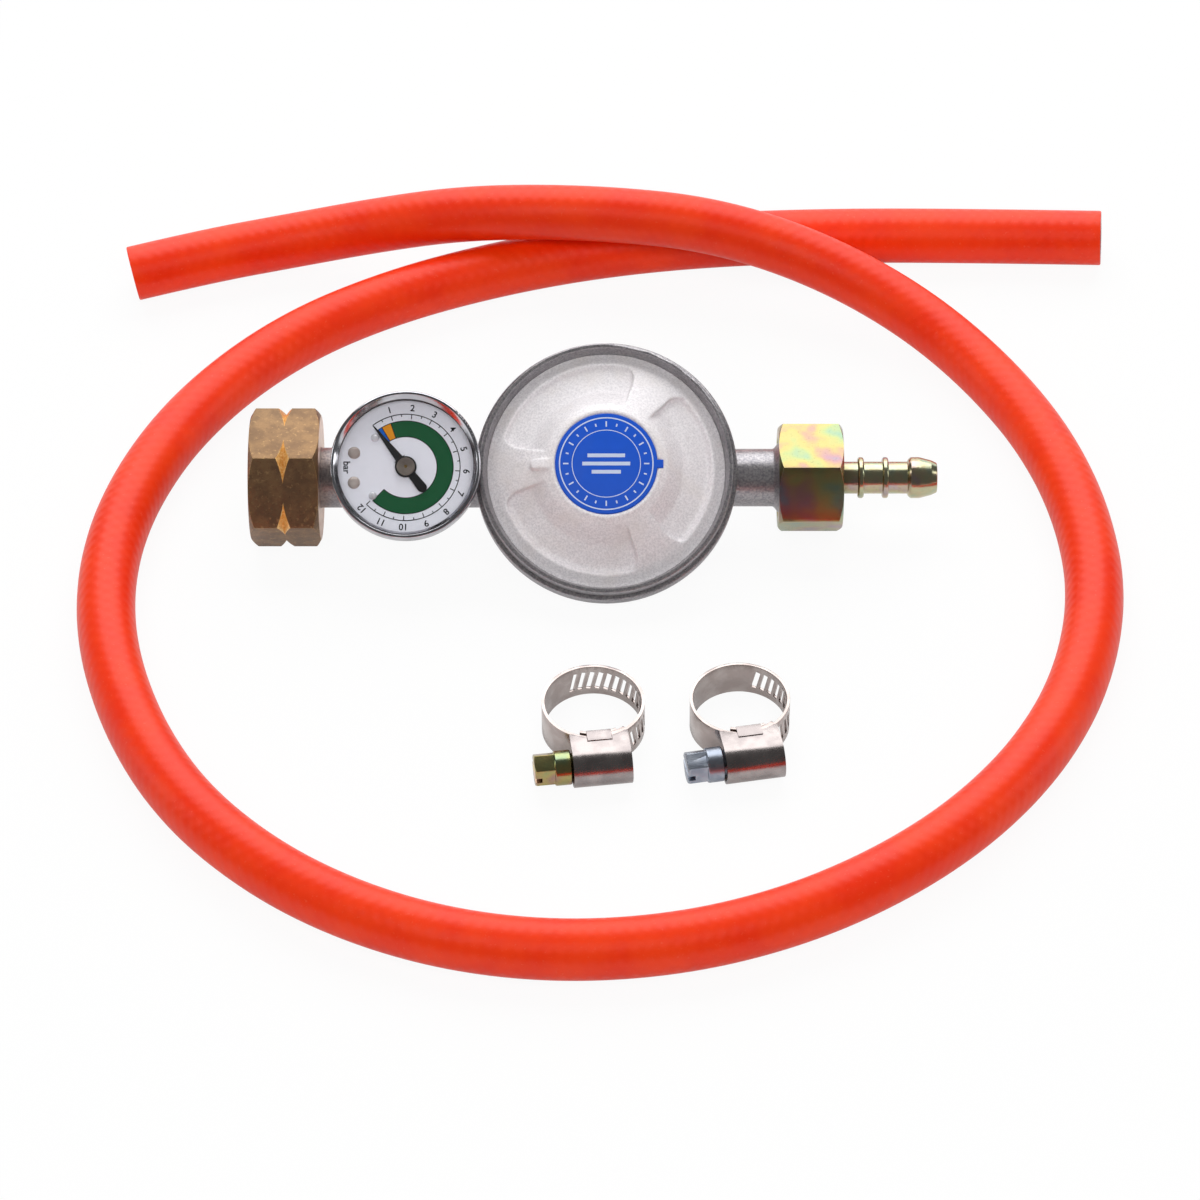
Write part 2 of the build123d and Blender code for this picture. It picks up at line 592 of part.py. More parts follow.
def sector_gear():
    """Pivots at its own origin; a tooth points along +X, at the pinion."""
    step = 360.0 / sector_teeth
    first, last = math.ceil(sector_cover[0] / step), math.floor(sector_cover[1] / step)
    centres = [step * i for i in range(first, last + 1)]
    teeth = gear_face(sector_r, sector_teeth, centres)
    rim = make_face(Polyline(teeth + [polar(sector_r - 1.4, centres[-1] + 3), polar(sector_r - 1.4, sum(centres) / len(centres)),
                                      polar(sector_r - 1.4, centres[0] - 3)], close=True))
    middle = sum(sector_cover) / 2
    arm = make_face(Polyline([polar(sector_r - 1.0, middle - 12), polar(sector_r - 1.0, middle + 12), polar(0.8, middle + 90),
                              polar(0.8, middle - 90)], close=True))
    tail = make_face(Polyline([(0, 0.6), (-1.5, 0.5), (-1.5, -0.5), (0, -0.6)], close=True))
    plate = extrude(rim, gear_t) + extrude(arm, gear_t) + extrude(tail, gear_t) + rod(0.95, 0, gear_t)
    plate -= rod(0.5 + running, 0, gear_t)
    return Pos(sector_x, 0, gear_z) * plate


def movement_block():
    bar = block((sector_x - 1, 1.4), (-1.3, 1.3), (floor_z, block_top))
    x, y = polar(bourdon_r, bourdon_span[0])
    reach = math.hypot(x, y) + 0.7
    foot = Rot(0, 0, bourdon_span[0]) * block((0, reach), (-1.1, 1.1), (floor_z, block_top))
    pin = rod(0.5, floor_z, gear_z + gear_t + 0.2, sector_x)
    return bar + foot + pin - rod(arbor_r + running, floor_z, block_top + 0.01)


def bourdon_tube():
    tube = extrude(sector_face(bourdon_r - bourdon_w / 2, bourdon_r + bourdon_w / 2, *bourdon_span), bourdon_h - 0.4)
    tube = Pos(0, 0, block_top) * tube
    return tube


# ---- hose ----------------------------------------------------------------------------------------


def corner_radii(points):
    """Arc radius at each corner: a fixed share of the shorter run on each side of it."""
    radii = []
    for before, at, after in zip(points, points[1:], points[2:]):
        one, two = Vector(at) - Vector(before), Vector(after) - Vector(at)
        half_turn = math.radians(one.get_angle(two)) / 2
        radii.append(corner_share * min(one.length, two.length) / math.tan(half_turn))
    return radii


def hose():
    radii = corner_radii(hose_route)
    path = FilletPolyline(*hose_route, radius=radii)
    end = path ^ 0
    plane = Plane(end.position, z_dir=end.z_axis.direction)
    tube = sweep(plane * Circle(hose_r), path) - sweep(plane * Circle(hose_bore_r), path)
    section = math.pi * (hose_r ** 2 - hose_bore_r ** 2)
    print("hose radii, mm:", [round(radius) for radius in radii])
    print(f"hose length {path.length:.1f} mm, volume {tube.volume:.0f}, section x length {section * path.length:.0f}")
    return tube


# ---- clamps: band axis along Z, middle of the band at z = 0, screw at -Y ----------------------------


def clamp_band(bore_r, slots_to):
    outer = bore_r + band_t
    low, high = -band_w / 2, band_w / 2
    band = ring(outer, bore_r, low, high)
    tongue = sector_face(bore_r - band_t, bore_r, -90, tongue_to)
    band += Pos(0, 0, low) * extrude(tongue, band_w)
    step = math.degrees(slot_pitch / outer)
    angle = slots_from
    while angle < slots_to:
        slot = Rot(slot_lean, 0, 0) * Box(4, slot_w, slot_h)
        band -= Rot(0, 0, angle) * (Pos(outer, 0, 0) * slot)
        angle += step
    return band


def housing_section(radius, reach):
    """D-shaped section in (y, z): a half round on the screw's axis, square towards the band."""
    arc = ThreePointArc((0, radius), (-radius, 0), (0, -radius))
    return make_face([arc, Line((0, -radius), (reach, -radius)), Line((reach, -radius), (reach, radius)),
                      Line((reach, radius), (0, radius))])


def clamp_housing(bore_r):
    outer = bore_r + band_t
    axis_y = -(outer + screw_out)
    half = housing_len / 2
    shell = Pos(-half, axis_y, 0) * extrude(Plane.YZ * housing_section(housing_r, screw_out + 1.6), housing_len)
    hollow = Pos(-half - 1, axis_y, 0) * extrude(Plane.YZ * housing_section(housing_r - housing_wall, screw_out + 3), housing_len + 2)
    shell -= hollow
    shell -= rod(outer + 0.02, -housing_r, housing_r)
    for side in (-1, 1):
        fold_over = sorted((side * (band_w / 2 + 0.02), side * flap_out))
        shell += block((-flap_w / 2, flap_w / 2), (-outer - flap_in, -bore_r + band_t + saddle_t), fold_over)
    return shell


def clamp_saddle(bore_r):
    """Curved plate inside the ring, under the screw, behind the band."""
    arc = sector_face(bore_r - band_t - saddle_t, bore_r - band_t, 270 - saddle_half, 270 + saddle_half)
    return Pos(0, 0, -band_w / 2) * extrude(arc, band_w)


def clamp_screw(bore_r):
    axis_y = -(bore_r + band_t + screw_out)
    half = housing_len / 2
    profile = [(half - 0.6, 0), (half - 0.6, screw_core_r)]
    crest = half - 0.6 - screw_pitch / 2
    while crest > -half + screw_pitch / 2:
        profile += [(crest + 0.7, screw_core_r), (crest + 0.25, screw_thread_r), (crest - 0.25, screw_thread_r),
                    (crest - 0.7, screw_core_r)]
        crest -= screw_pitch
    head = -half - collar_gap
    profile += [(head, screw_core_r), (head, collar_r, 0.4), (head - collar_len, collar_r, 0.5), (head - collar_len, 0)]
    screw = turned_x(profile)
    bar = hex_bar(screw_head_af, head - collar_len - screw_head_len, head - collar_len + 0.5, turn=20)
    slot = block((head - collar_len - screw_head_len - 0.01, head - collar_len - screw_head_len + 1.6),
                 (-screw_head_af, screw_head_af), (-0.6, 0.6))
    return Pos(0, axis_y, 0) * (screw + bar - slot)


# ---- assembly ------------------------------------------------------------------------------------
upright = Pos(disc_x, disc_y, axis_height)
leaned = upright * Rot(tilt, 0, 0)
at_gauge = leaned * Pos(gauge_x, 0, 0)

nodes = {
    "body_casting": leaned * body_casting(),
    "diaphragm_cover": leaned * diaphragm_cover(),
    "label_disc": leaned * label_disc(),
    "adjusting_plug": leaned * adjusting_plug(),
    "diaphragm": leaned * diaphragm(),
    "main_spring": leaned * main_spring(),
    "diaphragm_plate": leaned * diaphragm_plate(),
    "diaphragm_stem": leaned * diaphragm_stem(),
    "valve_lever": leaned * lever(),
    "lever_pin": leaned * lever_pin(),
    "valve_slider": leaned * valve_slider(),
    "valve_pad": leaned * valve_pad(),
    "valve_seat": leaned * valve_seat(),
    "inlet_nut": upright * inlet_nut(),
    "inlet_nipple": leaned * inlet_nipple(),
    "inlet_gasket": leaned * inlet_gasket(),
    "inlet_filter": leaned * inlet_filter(),
    "outlet_nut": upright * outlet_nut(),
    "outlet_gasket": leaned * outlet_gasket(),
    "hose_tail": leaned * hose_tail(),
    "gauge_stem": at_gauge * gauge_stem(),
    "gauge_seal": at_gauge * gauge_seal(),
    "gauge_case": at_gauge * gauge_case(),
    "gauge_bezel": at_gauge * gauge_bezel(),
    "gauge_lens": at_gauge * gauge_lens(),
    "gauge_dial": at_gauge * gauge_dial(),
    "dial_screw_upper": at_gauge * dial_screw(1),
    "dial_screw_lower": at_gauge * dial_screw(-1),
    "stop_pin_zero": at_gauge * stop_pin(0),
    "stop_pin_full": at_gauge * stop_pin(1),
    "movement_block": at_gauge * movement_block(),
    "bourdon_tube": at_gauge * bourdon_tube(),
    "sector_gear": at_gauge * sector_gear(),
    "pinion_arbor": at_gauge * pinion_arbor(),
    "pointer": at_gauge * pointer(),
    "pointer_hub": at_gauge * pointer_hub()}

for side, clamp in clamps.items():
    bore_r = clamp["bore_r"]
    # the tab under the housing and the far edge of the band lie on the table
    drop = math.degrees(math.asin((flap_out - band_w / 2) / (2 * bore_r + band_t)))
    lean = Rot(0, 0, clamp["turn"]) * Rot(-drop, 0, 0)
    pieces = {"band": clamp_band(bore_r, clamp["slots_to"]), "housing": clamp_housing(bore_r),
              "saddle": clamp_saddle(bore_r), "screw": clamp_screw(bore_r)}
    low = min((lean * piece).bounding_box().min.Z for piece in pieces.values())
    for name, piece in pieces.items():
        nodes[f"clamp_{side}_{name}"] = Pos(*clamp["at"], -low) * lean * piece

# the frame's origin: on the table, under the middle of the regulator and clamps
box = Compound(children=[Compound(shape.solids()) for shape in nodes.values()]).bounding_box()
shift = Pos(-(box.min.X + box.max.X) / 2, -(box.min.Y + box.max.Y) / 2, -box.min.Z)
nodes = {name: shift * shape for name, shape in nodes.items()}
nodes["hose"] = hose()
print("shift", shift.position)

os.makedirs("parts", exist_ok=True)
for name, shape in nodes.items():
    solids = shape.solids()
    export_step(solids[0] if len(solids) == 1 else Compound(solids), f"parts/{name}.step")
print(len(nodes), "nodes")
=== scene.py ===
import bpy
import math
from mathutils import Matrix, Vector


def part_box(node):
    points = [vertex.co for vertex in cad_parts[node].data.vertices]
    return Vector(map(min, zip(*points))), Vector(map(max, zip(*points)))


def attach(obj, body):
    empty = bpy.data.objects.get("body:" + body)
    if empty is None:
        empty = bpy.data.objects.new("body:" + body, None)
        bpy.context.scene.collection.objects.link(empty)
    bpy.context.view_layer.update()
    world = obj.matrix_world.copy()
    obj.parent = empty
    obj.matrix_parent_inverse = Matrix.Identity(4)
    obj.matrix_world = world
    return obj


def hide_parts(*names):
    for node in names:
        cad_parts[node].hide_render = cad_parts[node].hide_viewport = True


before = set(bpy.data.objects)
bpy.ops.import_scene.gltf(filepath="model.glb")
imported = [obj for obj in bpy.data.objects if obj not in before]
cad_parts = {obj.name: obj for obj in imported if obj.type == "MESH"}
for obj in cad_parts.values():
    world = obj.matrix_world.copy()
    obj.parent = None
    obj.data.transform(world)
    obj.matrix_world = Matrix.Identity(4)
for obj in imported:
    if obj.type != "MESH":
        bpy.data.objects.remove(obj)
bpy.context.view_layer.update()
mm = 0.001


def middle(node):
    low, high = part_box(node)
    return (low + high) / 2


# the regulator's own axes: x along its tube, z out of its cover, origin where the two cross
regulator = {"tilt": 34.0, "gaugeX": -48.2}
crossing = Vector((middle("diaphragm").x, middle("outlet_gasket").y, middle("outlet_gasket").z))
upright = Matrix.Translation(crossing)
leaned = upright @ Matrix.Rotation(math.radians(regulator["tilt"]), 4, "X")
atGauge = leaned @ Matrix.Translation((regulator["gaugeX"] * mm, 0, 0))


class Wire:  # a shader socket that takes the arithmetic operators
    def __init__(self, look, socket):
        self.look = look
        self.socket = socket

    def math(self, operation, *others):
        return self.look.add("ShaderNodeMath", {"operation": operation}, [self, *others])

    def __add__(self, other):
        return self.math("ADD", other)

    def __sub__(self, other):
        return self.math("SUBTRACT", other)

    def __mul__(self, other):
        return self.math("MULTIPLY", other)

    def __radd__(self, other):
        return self.look.add("ShaderNodeMath", {"operation": "ADD"}, [other, self])

    def __rsub__(self, other):
        return self.look.add("ShaderNodeMath", {"operation": "SUBTRACT"}, [other, self])

    def __rmul__(self, other):
        return self.look.add("ShaderNodeMath", {"operation": "MULTIPLY"}, [other, self])

    def smooth(self, low, high):  # 0 below low, 1 above high, an even slope between
        steps = {"interpolation_type": "SMOOTHSTEP"}
        return self.look.add("ShaderNodeMapRange", steps, [self, low, high, 0.0, 1.0])


class Look:  # one material and its nodes
    def __init__(self, name):
        self.material = bpy.data.materials.new(name)
        self.material.use_nodes = True
        self.tree = self.material.node_tree
        self.tree.nodes.clear()
        self.output = self.tree.nodes.new("ShaderNodeOutputMaterial")

    def add(self, kind, settings=None, inputs=(), output=0):
        node = self.tree.nodes.new(kind)
        for name, value in (settings or {}).items():
            if name == "stops":
                self.fillRamp(node.color_ramp, value)
            else:
                setattr(node, name, value)
        pairs = inputs.items() if isinstance(inputs, dict) else enumerate(inputs)
        for key, value in pairs:
            if isinstance(value, Wire):
                self.tree.links.new(value.socket, node.inputs[key])
            else:
                node.inputs[key].default_value = value
        return Wire(self, node.outputs[output])

    def fillRamp(self, ramp, stops):
        while len(ramp.elements) > 1:
            ramp.elements.remove(ramp.elements[-1])
        for index, (place, colour) in enumerate(stops):
            stop = ramp.elements[0] if index == 0 else ramp.elements.new(place)
            stop.position = place
            stop.color = (*colour, 1.0)

    def place(self, output="Object"):
        return self.add("ShaderNodeTexCoord", output=output)

    def mapped(self, size=(1, 1, 1), shift=(0, 0, 0)):
        return self.add("ShaderNodeMapping", {}, {"Vector": self.place(), "Location": shift, "Scale": size})

    def noise(self, where, scale, detail=3.0, roughness=0.5):
        sockets = {"Vector": where, "Scale": scale, "Detail": detail, "Roughness": roughness}
        return self.add("ShaderNodeTexNoise", {}, sockets)

    def parts(self, vector):
        split = self.add("ShaderNodeSeparateXYZ", {}, [vector])
        return [Wire(self, socket) for socket in split.socket.node.outputs]

    def mix(self, factor, first, second):
        first, second = ((*c, 1.0) if isinstance(c, tuple) else c for c in (first, second))
        return self.add("ShaderNodeMix", {"data_type": "RGBA"}, {0: factor, 6: first, 7: second}, 2)

    def bump(self, height, depth, strength=1.0):  # depth in millimetres
        sockets = {"Strength": strength, "Distance": depth * mm, "Height": height}
        return self.add("ShaderNodeBump", {}, sockets)

    def finish(self, **sockets):
        names = {key.replace("_", " "): value for key, value in sockets.items()}
        shader = self.add("ShaderNodeBsdfPrincipled", {}, names)
        self.tree.links.new(shader.socket, self.output.inputs["Surface"])
        return self.material


def srgb(red, green, blue):  # 0-255 screen values to the shader's own
    return tuple(((v / 255 + 0.055) / 1.055) ** 2.4 if v > 10 else v / 3294.6 for v in (red, green, blue))


def dimmed(colour, share):
    return tuple(channel * share for channel in colour)


def alone(thing):  # in object mode, with nothing else selected
    if bpy.context.object and bpy.context.object.mode != "OBJECT":
        bpy.ops.object.mode_set(mode="OBJECT")
    bpy.ops.object.select_all(action="DESELECT")
    bpy.context.view_layer.objects.active = thing
    thing.select_set(True)


def editAll(thing):
    alone(thing)
    bpy.ops.object.mode_set(mode="EDIT")
    bpy.ops.mesh.select_all(action="SELECT")


def smoothed(thing, angle):
    alone(thing)
    bpy.ops.object.shade_smooth_by_angle(angle=math.radians(angle))


def applyModifier(thing, kind, **settings):
    alone(thing)
    modifier = thing.modifiers.new(kind.lower(), kind)
    for name, value in settings.items():
        setattr(modifier, name, value)
    bpy.ops.object.modifier_apply(modifier=modifier.name)


cleaning = {"weld": 2e-6, "flat": 0.6, "bevelSteps": 2}


# a merged copy of a CAD node, its edges rounded by so many millimetres and given a slot of their own
def formOf(node, finishes, roundEdges=0.0, angle=30.0, edgeSlot=-1):
    piece = bpy.data.objects.new(node + "Form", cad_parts[node].data.copy())
    bpy.context.collection.objects.link(piece)
    piece.data.materials.clear()
    for finish in finishes:
        piece.data.materials.append(looks[finish])
    editAll(piece)
    bpy.ops.mesh.remove_doubles(threshold=cleaning["weld"])
    bpy.ops.mesh.dissolve_limited(angle_limit=math.radians(cleaning["flat"]))
    bpy.ops.object.mode_set(mode="OBJECT")
    if piece.data.has_custom_normals:
        bpy.ops.mesh.customdata_custom_splitnormals_clear()
    if roundEdges:
        applyModifier(piece, "BEVEL", width=roundEdges * mm, segments=cleaning["bevelSteps"],
                      limit_method="ANGLE", angle_limit=math.radians(angle), material=edgeSlot,
                      use_clamp_overlap=True)
    smoothed(piece, angle)
    return piece


def dress(piece, body, slot, *nodes):
    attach(piece, body)
    if nodes:
        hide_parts(*nodes)


def reskin(node, body, slot, finishes, roundEdges=0.0, angle=30.0, edgeSlot=-1):
    dress(formOf(node, finishes, roundEdges, angle, edgeSlot), body, slot, node)


# camera: the target and distance in millimetres, looking along +y and down
view = {"target": (1.4, 6.35, 0.0), "elevation": 46.0, "distance": 1171.0, "lens": 145.5,
        "sensor": 36.0, "near": 0.05, "far": 20.0}


def makeCamera():
    tip = math.radians(view["elevation"])
    target = Vector(view["target"]) * mm
    camera = bpy.data.objects.new("camera", bpy.data.cameras.new("camera"))
    bpy.context.collection.objects.link(camera)
    camera.location = target + Vector((0, -math.cos(tip), math.sin(tip))) * view["distance"] * mm
    camera.rotation_euler = (math.pi / 2 - tip, 0, 0)
    camera.data.lens = view["lens"]
    camera.data.sensor_width = view["sensor"]
    camera.data.clip_start = view["near"]
    camera.data.clip_end = view["far"]
    bpy.context.scene.camera = camera


studio = {
    "floorSize": 5.0,
    "floorDrop": 0.0002,
    "floorWhite": 0.86,
    "seenGlow": 0.93,    # share of plain white that the camera sees in the floor
    "mirrorGlow": 0.35,  # the same in a reflection
    "world": 0.12,
    "aim": (0, 0.02, 0),
    "lamps": [  # name, place, size, watts, shows in reflections
        ("backSoftbox", (0.0, 1.03, 1.23), (1.8, 1.36), 22.0, True),
        ("frontFill", (0.0, -0.9, 1.3), (1.6, 0.8), 14.0, False),
        ("backWall", (0.0, 1.75, 0.45), (2.6, 0.9), 9.0, True),
        ("leftStrip", (-1.4, 0.1, 0.6), (0.25, 1.0), 2.4, True),
        ("rightStrip", (1.4, 0.1, 0.6), (0.25, 1.0), 2.4, True),
    ],
}


def makeFloor():
    bpy.ops.mesh.primitive_plane_add(size=studio["floorSize"], location=(0, 0, -studio["floorDrop"]))
    floor = bpy.context.object
    floor.name = "floor"
    look = Look("floorPaper")
    paths = look.add("ShaderNodeLightPath").socket.node.outputs
    rays = ("Is Camera Ray", "Is Glossy Ray", "Is Transmission Ray")
    camera, mirror, through = (Wire(look, paths[ray]) for ray in rays)
    share = camera.math("MAXIMUM", through) * studio["seenGlow"] + mirror * studio["mirrorGlow"]
    paper = look.add("ShaderNodeBsdfDiffuse", {}, {"Color": (studio["floorWhite"],) * 3 + (1.0,)})
    glow = look.add("ShaderNodeEmission", {}, {"Color": (1, 1, 1, 1), "Strength": 1.0})
    both = look.add("ShaderNodeMixShader", {}, [share, paper, glow])
    look.tree.links.new(both.socket, look.output.inputs["Surface"])
    floor.data.materials.append(look.material)


def makeWorld():
    world = bpy.data.worlds.new("studio")
    world.use_nodes = True
    bpy.context.scene.world = world
    nodes, links = world.node_tree.nodes, world.node_tree.links
    paths = nodes.new("ShaderNodeLightPath")
    level = nodes.new("ShaderNodeMapRange")  # white where the camera sees it, and dim as light
    level.inputs["To Min"].default_value = studio["world"]
    links.new(paths.outputs["Is Camera Ray"], level.inputs["Value"])
    nodes["Background"].inputs["Color"].default_value = (1.0, 1.0, 1.0, 1.0)
    links.new(level.outputs["Result"], nodes["Background"].inputs["Strength"])
    bpy.context.scene.view_settings.view_transform = "Standard"


def makeLamps():
    for name, place, size, watts, mirrored in studio["lamps"]:
        data = bpy.data.lights.new(name, "AREA")
        data.shape = "RECTANGLE"
        data.size, data.size_y = size
        data.energy = watts
        lamp = bpy.data.objects.new(name, data)
        lamp.location = place
        lamp.rotation_euler = (Vector(studio["aim"]) - lamp.location).to_track_quat("-Z", "Y").to_euler()
        lamp.visible_glossy = mirrored
        bpy.context.collection.objects.link(lamp)


makeCamera()
makeFloor()
makeWorld()
makeLamps()
print("camera and studio stand")


# finishes: noise scales are per metre, bump depths in millimetres
def castLook(name, pale, dull, grain, depth, roughness, metallic):  # grainy die-cast metal
    look = Look(name)
    where = look.place()
    sand = look.noise(where, grain, 3.0, 0.6)
    cloud = look.noise(where, 140.0)
    pits = look.noise(where, grain * 0.3, 2.0).smooth(0.60, 0.72)
    colour = look.mix(sand.smooth(0.3, 0.7), dull, pale)
    colour = look.mix(cloud.smooth(0.5, 0.75) * 0.35, colour, dimmed(dull, 0.8))
    colour = look.mix(pits * 0.3, colour, dimmed(dull, 0.45))
    height = sand - pits * 0.8
    return look.finish(Base_Color=colour, Metallic=metallic, Roughness=cloud * 0.16 + roughness,
                       Normal=look.bump(height, depth, 0.6))


def brassSkinLook():  # forged brass with its brown oxide
    look = Look("brassSkin")
    where = look.place()
    fine = look.noise(where, 2300.0, 3.0, 0.65)
    patch = look.noise(where, 260.0, 4.0, 0.6)
    rub = look.noise(where, 900.0, 3.0, 0.7).smooth(0.56, 0.70)
    colour = look.mix(patch.smooth(0.35, 0.65), srgb(122, 96, 72), srgb(144, 114, 82))
    colour = look.mix(rub * 0.5, colour, srgb(196, 160, 112))
    colour = look.mix(fine.smooth(0.58, 0.72) * 0.5, colour, srgb(90, 62, 44))
    return look.finish(Base_Color=colour, Metallic=0.78, Roughness=fine * 0.22 + 0.34,
                       Normal=look.bump(fine + patch * 0.5, 0.05, 0.5))


def brassWornLook():  # where the oxide is rubbed or cut away
    look = Look("brassWorn")
    fine = look.noise(look.place(), 1500.0, 3.0, 0.6)
    colour = look.mix(fine.smooth(0.35, 0.7), srgb(226, 168, 88), srgb(250, 214, 150))
    return look.finish(Base_Color=colour, Metallic=0.55, Roughness=fine * 0.2 + 0.24)


def brassTurnedLook():  # the machined end face, pale and with fine round grooves
    look = Look("brassTurned")
    across = look.parts(look.mapped(shift=tuple(-v for v in crossing)))
    radius = (across[1] * across[1] + across[2] * across[2]).math("SQRT")
    groove = (radius * 22000.0).math("SINE")
    tone = look.noise(look.place(), 600.0)
    colour = look.mix(tone.smooth(0.3, 0.7), srgb(196, 160, 140), srgb(232, 206, 186))
    return look.finish(Base_Color=colour, Metallic=1.0, Roughness=tone * 0.15 + 0.25,
                       Normal=look.bump(groove, 0.01, 0.4))


def zincYellowLook(name, span, paintedSheen):  # iridescent chromate over zinc, with white mixed in as painted sheen
    look = Look(name)
    where = look.place()
    drift = look.noise(where, span, 2.0, 0.55)
    tints = [(0.30, srgb(126, 150, 128)), (0.40, srgb(150, 156, 108)), (0.50, srgb(166, 152, 100)),
             (0.58, srgb(160, 134, 112)), (0.66, srgb(152, 122, 128)), (0.74, srgb(124, 134, 146))]
    colour = look.add("ShaderNodeValToRGB", {"stops": tints}, [drift])
    # white mixed evenly over the colour stands in for brighter reflections: painted sheen
    if paintedSheen:
        colour = look.mix(paintedSheen, colour, srgb(238, 232, 214))
    speck = look.noise(where, 2400.0, 2.0, 0.6)
    colour = look.mix(speck.smooth(0.6, 0.75) * 0.35, colour, srgb(84, 74, 60))
    return look.finish(Base_Color=colour, Metallic=1.0, Roughness=speck * 0.12 + 0.16,
                       Normal=look.bump(speck, 0.02, 0.3))


def brightLook(name, first, second, roughness, scale=300.0, metallic=1.0):  # smooth metal, drawn along x
    look = Look(name)
    cloud = look.noise(look.place(), scale)
    scratch = look.noise(look.mapped(size=(1.0, 14.0, 14.0)), scale * 2, 2.0)
    colour = look.mix(cloud.smooth(0.35, 0.65), first, second)
    return look.finish(Base_Color=colour, Metallic=metallic, Roughness=scratch * 0.12 + roughness,
                       Normal=look.bump(scratch, 0.01, 0.25))


def plainLook(name, colour, roughness, metallic=0.0, grain=900.0, depth=0.02, shine=0.5):
    look = Look(name)
    tone = look.noise(look.place(), grain)
    shade = look.mix(tone, dimmed(colour, 0.88), colour)
    return look.finish(Base_Color=shade, Roughness=tone * 0.1 + roughness, Metallic=metallic,
                       Specular_IOR_Level=shine, Normal=look.bump(tone, depth, 0.3))


def lensLook():
    look = Look("lensGlass")
    smear = look.noise(look.place(), 120.0, 2.0)
    return look.finish(Base_Color=(0.2, 0.22, 0.24, 1.0), Roughness=smear * 0.04 + 0.03, Alpha=0.03)


def coverLook():  # fine sand-blasted silver with a few stains
    look = Look("coverSilver")
    where = look.place()
    sand = look.noise(where, 2100.0, 3.0, 0.65)
    cloud = look.noise(where, 95.0, 3.0, 0.55)
    stain = look.noise(where, 260.0, 4.0, 0.6).smooth(0.60, 0.74)
    colour = look.mix(sand.smooth(0.32, 0.68), srgb(222, 218, 221), srgb(249, 245, 247))
    colour = look.mix(cloud.smooth(0.45, 0.72) * 0.4, colour, srgb(230, 222, 218))
    colour = look.mix(stain * 0.18, colour, srgb(150, 140, 138))
    return look.finish(Base_Color=colour, Metallic=0.12, Roughness=sand * 0.16 + 0.42,
                       Normal=look.bump(sand, 0.09, 0.6))


looks = {
    "arms": castLook("castArms", srgb(180, 176, 178), srgb(138, 136, 141), 1900.0, 0.06, 0.27, 0.8),
    "edge": castLook("castEdge", srgb(222, 220, 218), srgb(184, 182, 182), 1900.0, 0.03, 0.3, 0.55),
    "cover": coverLook(),
    "label": plainLook("labelBlue", srgb(20, 86, 206), 0.36, grain=500.0, depth=0.005, shine=0.3),
    "labelInk": plainLook("labelInk", srgb(206, 218, 242), 0.4, depth=0.0),
    "brass": brassSkinLook(),
    "brassWorn": brassWornLook(),
    "brassTurned": brassTurnedLook(),
    "yellow": zincYellowLook("zincYellow", 120.0, 0.0),
    # the tail's chromate is made paler than the nut's as painted sheen
    "tailYellowPaintedSheen": zincYellowLook("tailYellowPaintedSheen", 230.0, 0.3),
    "chrome": brightLook("chrome", srgb(178, 178, 184), srgb(206, 206, 212), 0.05, 200.0),
    "stainless": brightLook("stainless", srgb(168, 156, 152), srgb(184, 174, 170), 0.18, 260.0),
    "housing": brightLook("housingSteel", srgb(150, 142, 141), srgb(168, 160, 158), 0.2, 260.0),
    "zinc": brightLook("zincWhite", srgb(196, 192, 178), srgb(216, 212, 198), 0.26, metallic=0.5),
    "screwZinc": brightLook("screwZinc", srgb(142, 150, 164), srgb(170, 176, 186), 0.3),
    "screw": brightLook("screwDome", srgb(176, 162, 156), srgb(198, 186, 180), 0.3, metallic=0.35),
    "hub": brightLook("hubSteel", srgb(112, 102, 94), srgb(134, 124, 116), 0.3, metallic=0.5),
    "glass": lensLook(),
    "dial": plainLook("dialWhite", srgb(240, 241, 251), 0.5, depth=0.003, shine=0.3),
    "ink": plainLook("dialInk", srgb(18, 16, 20), 0.5, depth=0.0, shine=0.15),
    "green": plainLook("dialGreen", srgb(12, 84, 46), 0.5, depth=0.0, shine=0.12),
    "orange": plainLook("dialOrange", srgb(232, 150, 24), 0.5, depth=0.0, shine=0.12),
    "blue": plainLook("dialBlue", srgb(24, 98, 200), 0.5, depth=0.0, shine=0.12),
    "needle": plainLook("needleBlack", srgb(17, 15, 15), 0.45, shine=0.25),
    # the gauge case's inner walls: a dark brown non-metal that stands in for shade, painted shade
    "casePaintedShade": plainLook("casePaintedShade", srgb(64, 52, 50), 0.4),
    "clearPin": plainLook("clearPin", srgb(228, 228, 234), 0.14, 0.3),
    "brassBright": brightLook("brassBright", srgb(206, 160, 84), srgb(226, 184, 108), 0.2),
    "rubber": plainLook("sealRubber", srgb(34, 32, 32), 0.6),
    "spring": brightLook("springSteel", srgb(150, 148, 146), srgb(180, 178, 176), 0.25),
    "plug": plainLook("plugBlack", srgb(30, 30, 32), 0.5),
}
print("finishes mixed")

# flat prints: arcs, dashes and numerals, laid out in the plane and then raised by their thickness
prints = {"thick": 0.02, "weld": 1e-6, "arcSides": 360, "letterBold": 0.04}


def flatArc(name, inner, outer, start, end):  # degrees from +x, counter-clockwise
    bpy.ops.object.select_all(action="DESELECT")
    bpy.ops.mesh.primitive_circle_add(vertices=prints["arcSides"], radius=outer * mm)
    arc = bpy.context.object
    arc.name = name
    editAll(arc)
    bpy.ops.mesh.extrude_edges_move()
    bpy.ops.transform.resize(value=(inner / outer, inner / outer, 1))
    bpy.ops.object.mode_set(mode="OBJECT")
    if end - start < 360:
        bpy.ops.object.mode_set(mode="EDIT")
        bpy.ops.mesh.select_mode(type="FACE")
        bpy.ops.object.mode_set(mode="OBJECT")
        for face in arc.data.polygons:
            angle = (math.degrees(math.atan2(face.center.y, face.center.x)) - start) % 360
            face.select = angle > end - start
        bpy.ops.object.mode_set(mode="EDIT")
        bpy.ops.mesh.delete(type="FACE")
        bpy.ops.object.mode_set(mode="OBJECT")
    return arc


